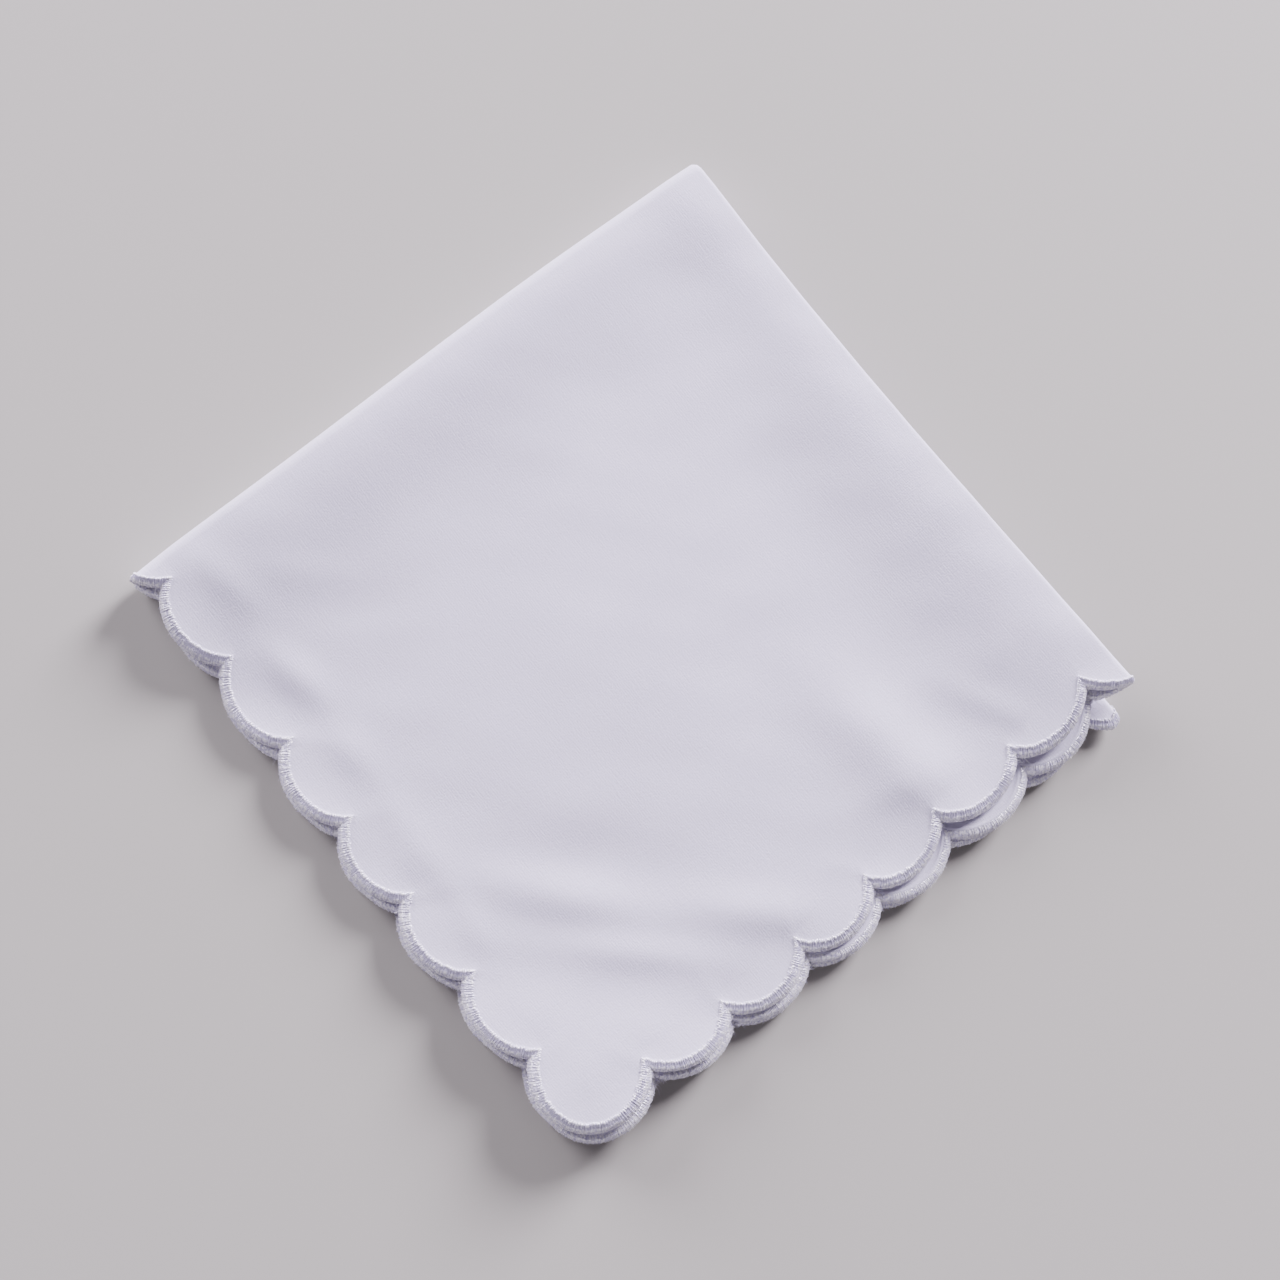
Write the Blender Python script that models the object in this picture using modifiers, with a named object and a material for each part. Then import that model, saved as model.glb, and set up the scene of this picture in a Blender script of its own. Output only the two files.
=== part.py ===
"""A white cotton handkerchief with a scalloped, satin-stitched edge, folded in quarters.

The cloth is first drawn flat: its outline, the two inner lines of its border, and a grid. Every flat
point then goes through two folds and is laid down askew and uneven, so that the four layers stay one
sheet. Flat points are (u, v), measured from the middle of the cloth. Folded points are (x, y), measured
from the second fold and from the first. The first fold runs along v = 0, the second along u = 0.
"""
import math

import bmesh
import bpy
from mathutils import Vector
from mathutils.geometry import delaunay_2d_cdt

MM = 0.001

# Driving sizes of the flat cloth
SIDE = 0.300                    # over the crests of the scallops
SCALLOPS = 13                   # on each side, between two corner lobes
CORNER_PITCHES = 0.864          # from a side's last cusp to the square corner
LOBE_DEPTH_PITCHES = 0.69       # how far a corner lobe stands out past its two cusps
BORDER_WIDTH = 2.2 * MM
CLOTH_THICKNESS = 1.0 * MM
BORDER_THICKNESS = 1.5 * MM

# Driving sizes of the folded stack
LAYER_PITCH = 1.9 * MM          # from the middle of one layer to the middle of the next

COTTON_WHITE = (0.83, 0.82, 0.87, 1)
COTTON_ROUGHNESS = 0.85

# Fineness of the mesh
ARC_STEPS = 5                   # straight runs along one scallop
LOBE_STEPS = 10
FOLD_STEPS = 6                  # across the half turn of a fold
TOP_GRID = 7 * MM               # the top layer is seen, so its grid is finer
HIDDEN_GRID = 12 * MM
BORDER_STEP = 0.4 * MM          # the slope from the border down to the cloth
GRID_MARGIN = 3 * MM            # kept clear between the grid and the border's cusps
SAME_POINT = MM / 100           # points closer than this are one
CDT_MERGE = 1e-7                # the same, for the triangulation
ROUND_DIGITS = 7
SHARP_EDGE = math.radians(50)

# The outline, worked out in pitches: a scallop is a quarter circle
SAG_PITCHES = (math.sqrt(2) - 1) / 2
HALF_SIDE = SIDE / 2
PITCH = HALF_SIDE / (SCALLOPS / 2 + CORNER_PITCHES + SAG_PITCHES)
SCALLOP_RADIUS = PITCH / math.sqrt(2)
CUSP_LINE = HALF_SIDE - SAG_PITCHES * PITCH
LAST_CUSP = SCALLOPS / 2 * PITCH
LOBE_HALF_CHORD = (CUSP_LINE - LAST_CUSP) / math.sqrt(2)
LOBE_DEPTH = LOBE_DEPTH_PITCHES * PITCH
LOBE_CENTRE = (CUSP_LINE + LAST_CUSP) / 2

# The two folds: the second wraps round the first, so its turn is wide outside and tight inside
FIRST_RADIUS = LAYER_PITCH / 2
OUTER_RADIUS = 1.5 * LAYER_PITCH
INNER_RADIUS = 0.5 * LAYER_PITCH
STACK_HEIGHT = 3 * LAYER_PITCH

# Where the four corners of the folded square lie on the surface, with the far corner away from the front
FAR_CORNER = Vector((9.5, 103.9)) * MM
RIGHT_CORNER = Vector((104.5, -9.4)) * MM
LEFT_CORNER = Vector((-106.3, 6.9)) * MM
FRONT_CORNER = Vector((-8.8, -107.5)) * MM

# How each side of that square bows sideways, and slides along itself: (one wave, two half waves, slide)
RIGHT_FOLD_BOW = (-1.24 * MM, -0.32 * MM, 0)
LEFT_FRONT_BOW = (-1.50 * MM, 0, 0)
LEFT_FOLD_BOW = (-0.36 * MM, -0.36 * MM, 0)
RIGHT_FRONT_BOW = (1.70 * MM, -0.64 * MM, 1.58 * MM)

# How far each layer's free edges reach past the top layer's, besides what the turns give.
# Rows: sign of u, sign of v. Columns: along x as a wave down the edge and at the lobe, along y in mid
# edge and at the lobe
LAYER_REACH = {
    (+1, +1): (0.0 * MM, 0.0 * MM, 0.2 * MM, 1.4 * MM),
    (+1, -1): (0.2 * MM, -1.6 * MM, -0.3 * MM, 0.9 * MM),
    (-1, -1): (1.1 * MM, -0.7 * MM, -0.2 * MM, 0.6 * MM),
    (-1, +1): (0.0 * MM, 0.0 * MM, 0.0 * MM, 0.0 * MM),
}

# At the right tip the lower two layers have swung out along x and in from the first fold
LOWER_SWING = (1.8 * MM, 5.3 * MM)

# At the left tip the second fold is tucked in, over this length
LEFT_TUCK = 1.8 * MM
TUCK_LENGTH = 9 * MM

# Soft ridges and rises of the top of the stack.
# Columns: x, y, half length, half width, heading of the length in degrees from x, height
RELIEF = (
    (6, 75, 400, 5.0, 90, 0.9),        # roll beside the left fold
    (75, 5, 400, 4.5, 0, 0.7),         # roll beside the right fold
    (70, 70, 75, 26, 45, 0.9),         # the middle, between the two folds' valleys
    (114, 109, 38, 6.5, -47, 0.8),     # first cross ridge above the front lobe
    (133, 127, 20, 8.0, -50, 1.1),     # rise behind the front lobe
    (124, 46, 26, 8.0, -12, 0.9),      # ridge running out to the right front edge
    (146, 4, 16, 12, 0, 1.2),          # lifted right tip
    (4, 146, 12, 12, 0, 1.2),          # lifted left tip
)


def scallop_limits(inset):
    """Half angle of a scallop's arc, where it meets another scallop and where it meets a lobe."""
    radius = SCALLOP_RADIUS - inset
    at_scallop = math.asin(PITCH / 2 / radius)
    at_lobe = math.radians(45) + math.atan2(inset, math.sqrt(radius ** 2 - inset ** 2))
    return at_scallop, at_lobe


def even_steps(start, end, steps):
    """Values from start to end, both included."""
    return [start + (end - start) * i / steps for i in range(steps + 1)]


def fold_rows(radius):
    """Flat distances from a fold line at which the turn of this radius gets a row of points."""
    quarter = math.pi / 2 * radius
    return even_steps(-quarter, quarter, FOLD_STEPS)


def scallop_points(inset, number, rows):
    """Points of one scallop of the side that faces +v, from +u to -u."""
    radius = SCALLOP_RADIUS - inset
    centre = (SCALLOPS // 2 - number) * PITCH
    at_scallop, at_lobe = scallop_limits(inset)
    start = at_lobe if number == 0 else at_scallop
    end = at_lobe if number == SCALLOPS - 1 else at_scallop
    angles = even_steps(start, -end, ARC_STEPS)
    if number == SCALLOPS // 2:
        widest = max(rows)
        angles = [a for a in angles if abs(radius * math.sin(a)) > widest + BORDER_STEP]
        angles += [math.asin(row / radius) for row in rows]
        angles.sort(reverse=True)
    middle = CUSP_LINE - PITCH / 2
    return [(centre + radius * math.sin(a), middle + radius * math.cos(a)) for a in angles]


def lobe_points(inset):
    """Points of the corner lobe at (-u, +v): half an ellipse across the corner's diagonal."""
    across = Vector((1, 1)).normalized()
    out = Vector((-1, 1)).normalized()
    centre = Vector((-LOBE_CENTRE, LOBE_CENTRE))
    points = []
    for angle in even_steps(0, math.pi, LOBE_STEPS):
        sideways = across * (LOBE_HALF_CHORD - inset) * math.cos(angle)
        outwards = out * (LOBE_DEPTH - inset) * math.sin(angle)
        points.append(tuple(centre + sideways + outwards))
    return points


def quarter_turns(point, turns):
    """The point turned anticlockwise about the middle of the cloth."""
    u, v = point
    for _ in range(turns):
        u, v = -v, u
    return u, v


def scalloped_ring(inset):
    """The cloth's closed outline, or a line parallel to it and inset by this much."""
    rows_of_side = (fold_rows(OUTER_RADIUS), fold_rows(FIRST_RADIUS), fold_rows(INNER_RADIUS),
                    fold_rows(FIRST_RADIUS))
    ring = []
    for turns, rows in enumerate(rows_of_side):
        side = []
        for number in range(SCALLOPS):
            side += scallop_points(inset, number, rows)
        side += lobe_points(inset)
        for point in side:
            turned = Vector(quarter_turns(point, turns))
            if not ring or (turned - ring[-1]).length > SAME_POINT:
                ring.append(turned)
    if (ring[0] - ring[-1]).length < SAME_POINT:
        ring.pop()
    return ring


def grid_lines(rows, step, sign):
    """Grid lines on one side of a fold, from its last row to just inside the border."""
    cusps_inside = CUSP_LINE - PITCH / 2 + (SCALLOP_RADIUS - BORDER_WIDTH) * math.cos(
        scallop_limits(BORDER_WIDTH)[0])
    last = cusps_inside - GRID_MARGIN
    first = max(rows) + step / 2
    return [sign * value for value in even_steps(first, last, round((last - first) / step))]


def grid_points():
    """Free points inside the border: a grid on each quarter, and rows across each fold.

    The points of a fold's rows stand at one spacing on both sides of it, the finer one where it
    carries the top layer, so that no triangle cuts across the turn.
    """
    first_rows = fold_rows(FIRST_RADIUS)
    points = set()
    for u_sign in (1, -1):
        for v_sign in (1, -1):
            second_rows = fold_rows(OUTER_RADIUS if v_sign > 0 else INNER_RADIUS)
            grid = TOP_GRID if (u_sign, v_sign) == (-1, 1) else HIDDEN_GRID
            beside_first = TOP_GRID if u_sign < 0 else HIDDEN_GRID
            beside_second = TOP_GRID if v_sign > 0 else HIDDEN_GRID
            across = grid_lines(second_rows, grid, u_sign)
            along = grid_lines(first_rows, grid, v_sign)
            points |= {(u, v) for u in across for v in along}
            across = grid_lines(fold_rows(OUTER_RADIUS), beside_first, u_sign)
            points |= {(u, v) for u in across for v in first_rows}
            along = grid_lines(first_rows, beside_second, v_sign)
            points |= {(u, v) for u in second_rows for v in along}
            points |= {(u, v) for u in second_rows for v in first_rows if v * v_sign >= 0}
    rounded = {(round(u, ROUND_DIGITS), round(v, ROUND_DIGITS)) for u, v in points}
    return [Vector(point) for point in sorted(rounded)]


def flat_sheet():
    """The flat cloth's points, its triangles, and how many of the points are on the border."""
    rings = [scalloped_ring(inset) for inset in (0, BORDER_WIDTH, BORDER_WIDTH + BORDER_STEP)]
    points = []
    edges = []
    for ring in rings:
        first = len(points)
        points += ring
        edges += [(first + i, first + (i + 1) % len(ring)) for i in range(len(ring))]
    on_border = len(rings[0]) + len(rings[1])
    points += grid_points()
    inside_constraints = 1
    points, _, triangles, origins, _, _ = delaunay_2d_cdt(
        points, edges, [], inside_constraints, CDT_MERGE)
    border = {i for i, sources in enumerate(origins) if sources and sources[0] < on_border}
    return points, triangles, border


def first_fold(v):
    """Distance from the first fold, and height, of a point this far from the fold line."""
    quarter = math.pi / 2 * FIRST_RADIUS
    if abs(v) > quarter:
        return FIRST_RADIUS + abs(v) - quarter, 0 if v > 0 else LAYER_PITCH
    angle = math.pi / 2 - v / FIRST_RADIUS
    return FIRST_RADIUS * (1 - math.sin(angle)), FIRST_RADIUS * (1 - math.cos(angle))


def second_fold(u, height):
    """The same for the second fold, which turns the folded pair over onto itself."""
    radius = OUTER_RADIUS - height
    quarter = math.pi / 2 * radius
    if abs(u) > quarter:
        return OUTER_RADIUS + abs(u) - quarter, height if u > 0 else STACK_HEIGHT - height
    angle = math.pi / 2 - u / radius
    return OUTER_RADIUS - radius * math.sin(angle), OUTER_RADIUS - radius * math.cos(angle)


def reach(u, v, x, y):
    """How far this point lies past the same point of a stack whose free edges all agree."""
    s, t = x / HALF_SIDE, y / HALF_SIDE
    x_wave, x_lobe, y_middle, y_lobe = LAYER_REACH[(1 if u > 0 else -1, 1 if v > 0 else -1)]
    along_x = s * (x_wave * math.sin(2 * math.pi * t) + x_lobe * t)
    along_y = t * (y_middle * math.sin(math.pi * s) + y_lobe * s)
    if u > 0:
        swing = (s * max(0, 1 - t)) ** 2
        along_x += LOWER_SWING[0] * swing
        along_y += LOWER_SWING[1] * swing
    along_x += LEFT_TUCK * math.exp(-((HALF_SIDE - y) / TUCK_LENGTH) ** 2 - x / TUCK_LENGTH)
    return along_x, along_y


def bow(start, end, amounts, t):
    """Offset of a side of the square at the fraction t of its length."""
    along = (end - start).normalized()
    sideways = Vector((-along.y, along.x))
    one_wave, two_waves, slide = amounts
    push = one_wave * math.sin(math.pi * t) + two_waves * math.sin(2 * math.pi * t)
    return sideways * push + along * slide * math.sin(math.pi * t)


def lay_down(x, y):
    """Place on the surface of a point of the folded square."""
    s, t = x / HALF_SIDE, y / HALF_SIDE
    place = (FAR_CORNER * (1 - s) * (1 - t) + RIGHT_CORNER * s * (1 - t)
             + LEFT_CORNER * (1 - s) * t + FRONT_CORNER * s * t)
    place += bow(FAR_CORNER, RIGHT_CORNER, RIGHT_FOLD_BOW, s) * (1 - t)
    place += bow(LEFT_CORNER, FRONT_CORNER, LEFT_FRONT_BOW, s) * t
    place += bow(FAR_CORNER, LEFT_CORNER, LEFT_FOLD_BOW, t) * (1 - s)
    place += bow(RIGHT_CORNER, FRONT_CORNER, RIGHT_FRONT_BOW, t) * s
    return place


def relief(x, y):
    """Height that the soft ridges add to the top of the stack."""
    height = 0
    for centre_x, centre_y, half_length, half_width, heading, rise in RELIEF:
        angle = math.radians(heading)
        dx, dy = x - centre_x * MM, y - centre_y * MM
        along = (dx * math.cos(angle) + dy * math.sin(angle)) / (half_length * MM)
        across = (dy * math.cos(angle) - dx * math.sin(angle)) / (half_width * MM)
        height += rise * MM * math.exp(-along ** 2 - across ** 2)
    return height


def folded_point(u, v):
    """Where a point of the flat cloth's middle surface lies once folded and put down."""
    y, pair_height = first_fold(v)
    x, height = second_fold(u, pair_height)
    along_x, along_y = reach(u, v, x, y)
    x += along_x
    y += along_y
    place = lay_down(x, y)
    lift = relief(x, y) * height / STACK_HEIGHT
    return Vector((place.x, place.y, CLOTH_THICKNESS / 2 + height + lift))


def cotton_material():
    """Plain white cotton."""
    material = bpy.data.materials.new("white_cotton")
    material.use_nodes = True
    surface = material.node_tree.nodes["Principled BSDF"]
    surface.inputs["Base Color"].default_value = COTTON_WHITE
    surface.inputs["Roughness"].default_value = COTTON_ROUGHNESS
    surface.inputs["Metallic"].default_value = 0
    material.diffuse_color = COTTON_WHITE
    return material


def folded_cloth(collection):
    """The handkerchief: one folded sheet, thicker along its border."""
    points, triangles, border = flat_sheet()
    mesh = bpy.data.meshes.new("cloth")
    mesh.from_pydata([folded_point(*point) for point in points], [], triangles)
    cloth = bpy.data.objects.new("cloth", mesh)
    collection.objects.link(cloth)
    mesh.materials.append(cotton_material())

    stitched = cloth.vertex_groups.new(name="border")
    for index in border:
        above = mesh.vertices[index].co.z - CLOTH_THICKNESS / 2
        stitched.add([index], min(1, above / LAYER_PITCH), "REPLACE")

    solid = cloth.modifiers.new("thickness", "SOLIDIFY")
    solid.thickness = BORDER_THICKNESS
    solid.offset = 0
    solid.vertex_group = stitched.name
    solid.thickness_vertex_group = CLOTH_THICKNESS / BORDER_THICKNESS
    solid.use_quality_normals = True
    return cloth


def turn_faces_out(thing):
    """Make the sheet's own faces agree, so that the thickness is put on evenly."""
    sheet = bmesh.new()
    sheet.from_mesh(thing.data)
    bmesh.ops.recalc_face_normals(sheet, faces=sheet.faces)
    sheet.to_mesh(thing.data)
    sheet.free()
    thing.data.shade_smooth()
    thing.data.set_sharp_from_angle(angle=SHARP_EDGE)


def main():
    for thing in list(bpy.data.objects):
        bpy.data.objects.remove(thing)
    collection = bpy.data.collections.new("handkerchief")
    bpy.context.scene.collection.children.link(collection)
    turn_faces_out(folded_cloth(collection))


main()
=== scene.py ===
"""The looks of a white cotton handkerchief with a scalloped, satin-stitched edge, folded in quarters.

The cloth is drawn flat, with the lines of its border and a grid, and every flat point goes through two
folds and is laid down askew and uneven. Each stitch of the border is a loop of thread round the edge of
that same sheet, so it is drawn on the flat cloth too and goes through the same folds.

Flat points are (u, v), measured from the middle of the cloth. Folded points are (x, y), measured from
the second fold and from the first. The first fold runs along v = 0, the second along u = 0.
"""
import functools
import math

import bmesh
import bpy
import numpy as np
from mathutils import Matrix, Vector
from mathutils.geometry import delaunay_2d_cdt

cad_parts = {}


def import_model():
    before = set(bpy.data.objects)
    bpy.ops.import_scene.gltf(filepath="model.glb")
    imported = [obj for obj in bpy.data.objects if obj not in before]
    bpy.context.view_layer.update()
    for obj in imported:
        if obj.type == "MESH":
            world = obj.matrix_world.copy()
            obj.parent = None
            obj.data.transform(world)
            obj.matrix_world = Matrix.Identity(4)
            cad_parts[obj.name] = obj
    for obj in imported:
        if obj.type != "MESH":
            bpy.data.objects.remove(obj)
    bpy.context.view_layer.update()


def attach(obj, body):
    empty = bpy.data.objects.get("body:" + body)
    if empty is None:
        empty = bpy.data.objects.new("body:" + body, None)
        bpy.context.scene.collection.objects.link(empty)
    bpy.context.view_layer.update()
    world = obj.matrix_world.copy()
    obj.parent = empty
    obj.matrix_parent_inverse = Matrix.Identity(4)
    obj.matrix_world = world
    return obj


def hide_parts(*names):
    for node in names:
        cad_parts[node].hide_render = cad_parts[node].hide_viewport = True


MM = 0.001
SEED = 11

# Driving sizes of the flat cloth
SIDE = 0.300                    # over the crests of the scallops
SCALLOPS = 13                   # on each side, between two corner lobes
CORNER_PITCHES = 0.864          # from a side's last cusp to the square corner
LOBE_DEPTH_PITCHES = 0.69       # how far a corner lobe stands out past its two cusps
BORDER_WIDTH = 2.2 * MM
CLOTH_THICKNESS = 0.3 * MM
CROWN_THICKNESS = 0.76 * MM     # of the padding under the stitches
# The padding's two humps. Columns: place and half width, as fractions of the border's width counted
# from the outline, and share of the height
PADDING_HUMPS = ((0.89, 0.12, 1.0), (0.41, 0.13, 0.8))
RIM_HEIGHT = 0.12 * MM          # of the thread's bend at the outline of the layers below the top one
RIM_WIDTH = 0.12                # the same, half width, as a fraction of the border's width
EDGE_LIFT = 0.50 * MM           # of the lowest layer's edge, so that its stitches rest on the surface
EDGE_LIFT_WIDTH = 5 * MM        # inwards from the border
# How far each layer's outline turns down, from the bottom layer to the top one
LEFT_DROOPS = (0, 0.5 * MM, 0.6 * MM, 1.0 * MM)     # on the left front edge and the front lobe
RIGHT_DROOPS = (0, 0.5 * MM, 0.7 * MM, 0.8 * MM)    # on the right front edge
TIP_DROOP = 0.8 * MM            # besides, of the top layer at the two tips
DROOP_WIDTH = 1.5 * MM
DROOP_POWER = 1.2

# The outline, worked out in pitches: a scallop is a quarter circle
SAG_PITCHES = (math.sqrt(2) - 1) / 2
HALF_SIDE = SIDE / 2
PITCH = HALF_SIDE / (SCALLOPS / 2 + CORNER_PITCHES + SAG_PITCHES)
SCALLOP_RADIUS = PITCH / math.sqrt(2)
SCALLOP_HALF_ANGLE = math.radians(45)
CUSP_LINE = HALF_SIDE - SAG_PITCHES * PITCH
LAST_CUSP = SCALLOPS / 2 * PITCH
LOBE_HALF_CHORD = (CUSP_LINE - LAST_CUSP) / math.sqrt(2)
LOBE_DEPTH = LOBE_DEPTH_PITCHES * PITCH
LOBE_CENTRE = (CUSP_LINE + LAST_CUSP) / 2

# Driving sizes of the folded stack
TOP_LEVEL = 3                   # the layers are counted from the lowest one, which is 0
STACK_TOP = 6.7 * MM            # the top of the uppermost layer
LAYER_PITCH = (STACK_TOP - CLOTH_THICKNESS) / TOP_LEVEL
FIRST_RADIUS = LAYER_PITCH / 2
OUTER_RADIUS = 1.5 * LAYER_PITCH
INNER_RADIUS = 0.5 * LAYER_PITCH
LAYER_NAMES = ("lowest", "second", "third", "top")
LAYER_OF_QUARTER = {(1, 1): 0, (1, -1): 1, (-1, -1): 2, (-1, 1): 3}     # by the signs of u and v

# Where the four corners of the folded square lie on the surface
FAR_CORNER = (9.5 * MM, 103.9 * MM)
RIGHT_CORNER = (104.5 * MM, -9.4 * MM)
LEFT_CORNER = (-106.3 * MM, 6.9 * MM)
FRONT_CORNER = (-8.8 * MM, -107.5 * MM)

# How each side of that square bows sideways and slides along itself.
# Columns: one half wave sideways, two half waves sideways, slide
RIGHT_FOLD_BOW = (-1.54 * MM, -0.02 * MM, 0)
LEFT_FRONT_BOW = (-1.50 * MM, 0, 0)
LEFT_FOLD_BOW = (-0.40 * MM, -0.61 * MM, 0)
RIGHT_FRONT_BOW = (1.70 * MM, -0.64 * MM, 1.58 * MM)

# How far each layer's free edges reach past the top layer's, besides what the turns give.
# Rows: sign of u, sign of v. Columns: along x as a wave down the edge and at the lobe, along y in mid
# edge and at the lobe
LAYER_REACH = {
    (+1, +1): (0.0 * MM, 0.0 * MM, 0.2 * MM, 1.4 * MM),
    (+1, -1): (0.2 * MM, -1.6 * MM, -0.3 * MM, 0.9 * MM),
    (-1, -1): (1.1 * MM, -0.7 * MM, -0.2 * MM, 0.6 * MM),
    (-1, +1): (0.0 * MM, 0.0 * MM, 0.0 * MM, 0.0 * MM),
}

# How far both folds lie in from their even lines, and over what distance that fades out
LEFT_FOLD_IN = 1.05 * MM
RIGHT_FOLD_IN = 1.2 * MM
FOLD_IN_LENGTH = 8 * MM

# How unevenly the scallops of both front edges lie: one row for the fold's end, then one for each cusp
# up to the front lobe. Columns: on the left edge along x and along y, on the right edge the same, in mm
CUSP_SHIFTS = (
    (0.0, 0.0, 0.9, 0.0),
    (-1.4, -0.3, -0.7, 0.2),
    (-0.7, -0.1, 1.0, 0.5),
    (0.35, 0.3, 0.2, 1.2),
    (0.5, 0.3, 0.9, 0.7),
    (0.3, 0.35, 0.9, 0.0),
    (0.1, 0.2, 0.6, -0.1),
    (0.2, -0.1, -0.7, -0.5),
)
CUSP_SHIFT_LENGTH = 25 * MM     # from the edge into the cloth

# At the right tip the lower two layers have swung out along x and in from the first fold
LOWER_SWING = (1.8 * MM, 5.3 * MM)

# Their tip there is an open loop: its corner is rounded off, and the whole of it reaches out a little
LOOP_ROUND = 1.8 * MM
LOOP_ROUND_WIDTH = 2.2 * MM
LOOP_LENGTH = 8 * MM
LOOP_OUT = 1.4 * MM

# At the right tip the top two layers' loop is pinched shut, and its lower half hides below
PINCH_LIFT = 1.4 * MM
PINCH_SHIFT = 3.4 * MM
PINCH_LENGTHS = (9 * MM, 9 * MM)        # inwards from the edge, and away from the first fold

# At both tips the border is turned on edge, so that from above it looks narrower
TIP_TURN = 0.9 * MM             # how far its inner line moves out
TIP_WIDTH = 8 * MM              # along the border
TIP_EASE = 5 * MM               # into the cloth

# At the left tip the second fold is tucked in, over this length
LEFT_TUCK = 1.8 * MM
TUCK_LENGTH = 9 * MM

# Soft ridges and rises that the layers above the lowest share, most of it in the top one.
# Columns: x, y, half length, half width, heading of the length in degrees from x, height, all but the
# heading in millimetres
RELIEF = (
    (7, 105, 90, 17, 90, 4.2),         # roll beside the left fold, highest near the left tip
    (8, 40, 60, 8, 90, 0.7),
    (116, 7, 85, 18, 0, 4.0),          # roll beside the right fold, highest near the right tip
    (40, 7, 60, 8, 0, 0.7),
    (75, 75, 75, 30, 45, 2.0),         # the middle, along the diagonal
    (38, 150, 60, 28, 0, -1.8),        # the left front edge lies lower
    (142, 141, 26, 17, -46, 3.2),      # rise up to the front lobe
    (104, 110, 20, 8, -46, -0.80),     # trough before the first cross ridge
    (106, 119, 18, 5.0, -40, 1.00),    # first cross ridge above the front lobe, left half
    (133, 91, 14, 4.5, -46, 0.85),     # its right half
    (124, 115, 16, 3.5, -46, 0.80),    # second cross ridge
    (131, 48, 24, 8.0, -8, 1.9),       # ridge running out to the right front edge
    (150, 75, 55, 14, 90, -0.8),       # the right front edge lies lower
)

# Puckers of the top layer alone, with the same columns
PUCKERS = (
    (15, 134, 9, 3.5, -15, 0.52),      # inside the first scallops of the left front edge
    (38, 134, 10, 3.5, -12, 0.75),
    (58, 134.5, 10, 3.5, -5, 0.45),
    (78, 135.5, 10, 3.5, 0, 0.33),
    (97, 136.5, 10, 3.0, 5, 0.27),
    (24, 118, 14, 3.5, -50, 0.22),
    (40, 116, 10, 3.0, -55, 0.15),
    (133, 27, 12, 3.0, -25, 0.38),     # inside the first scallops of the right front edge
    (126, 18, 6, 3.0, 60, 0.22),
    (132, 57, 10, 4.0, -70, 0.38),
    (136, 72, 6, 3.5, 80, 0.22),
)

# Low waves over the whole top, at random headings
SOFT_WAVES = 16
SOFT_WAVE_LENGTHS = (9 * MM, 40 * MM)
SOFT_WAVE_HEIGHT = 0.0012       # as a share of the wave's length

# Short puckers that run into the cloth from each cusp of the top layer's border
CUSP_PUCKER_LENGTH = 6.0        # millimetres, as in the tables above
CUSP_PUCKER_WIDTH = 1.3
CUSP_PUCKER_HEIGHT = 0.24
CUSP_PUCKER_SHARES = (0.3, 1.0)     # of that height
CUSP_PUCKER_SPREAD = 50         # degrees either way

# How the free edges of the layers above the lowest wander up and down.
# Columns: layer from the bottom, waves along x, waves along y, phase in turns, height
EDGE_WAVES = (
    (1, 2.6, 2.2, 0.15, 0.16 * MM),
    (1, 6.1, 5.3, 0.60, 0.10 * MM),
    (2, 3.3, 2.9, 0.40, 0.16 * MM),
    (2, 7.4, 6.7, 0.10, 0.10 * MM),
    (3, 2.9, 3.4, 0.75, 0.18 * MM),
    (3, 6.6, 7.1, 0.30, 0.12 * MM),
)
EDGE_WAVE_WIDTH = 16 * MM

# Fineness of the mesh
ARC_STEPS = 22                  # straight runs along one scallop
LOBE_STEPS = 36
FOLD_STEPS = 10                 # across the half turn of a fold
TOP_GRID = 1.3 * MM
HIDDEN_GRID = 3.2 * MM
GRID_MARGIN = 1.2 * MM          # kept clear between the grid and the border's cusps
BORDER_RINGS = (0, 0.1, 0.3, 0.52, 0.74, 0.9, 1, 1.2)   # fractions of the border's width
SAME_POINT = MM / 100           # points closer than this are one
CDT_MERGE = 1e-7                # the same, for the triangulation
ROUND_DIGITS = 7
NORMAL_STEP = MM / 50           # between the points that give the sheet's slope
STATION_FINENESS = 12           # times finer than the mesh, where the stitches are spaced out
LEAD_SHARE = 10                 # a lobe's straight lead has this part of the lobe's steps

# Stitches: threads side by side round the edge, two from each hole in the inner line
THREAD_PITCH = 0.24 * MM
THREADS_A_HOLE = 2
THREAD_HALF_WIDTH = 0.16 * MM
THREAD_HALF_HEIGHT = 0.11 * MM
THREAD_WIDTH_SPREAD = (0.85, 1.15)
THREAD_HEIGHT_SPREAD = (0.7, 1.3)
THREAD_END_HEIGHT = CLOTH_THICKNESS / 3     # of its two ends, inside the cloth
THREAD_SINK = 0.05 * MM         # of a thread's middle into the padding
THREAD_STEP = 0.03 * MM         # how much higher every other thread lies
THREAD_SIDES = 5
THREAD_ROLL = 0.9               # how far a flattened thread may be turned about itself, in radians
OVERRUN = (0.04 * MM, 0.26 * MM)    # past the outline, round the cloth's edge
RAGGED = 0.20 * MM              # how much the holes of the inner line are out of line
GATHERED = 0.45                 # how far the threads of one hole come together in it
# A thread's way over the border and back below it: fractions of the border's width from the outline
TOP_STATIONS = (1.03, 0.97, 0.89, 0.79, 0.65, 0.52, 0.41, 0.28, 0.06)
BOTTOM_STATIONS = (0.4, 1.03)
STATIONS = len(TOP_STATIONS) + 1 + len(BOTTOM_STATIONS)     # with the one past the outline

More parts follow.
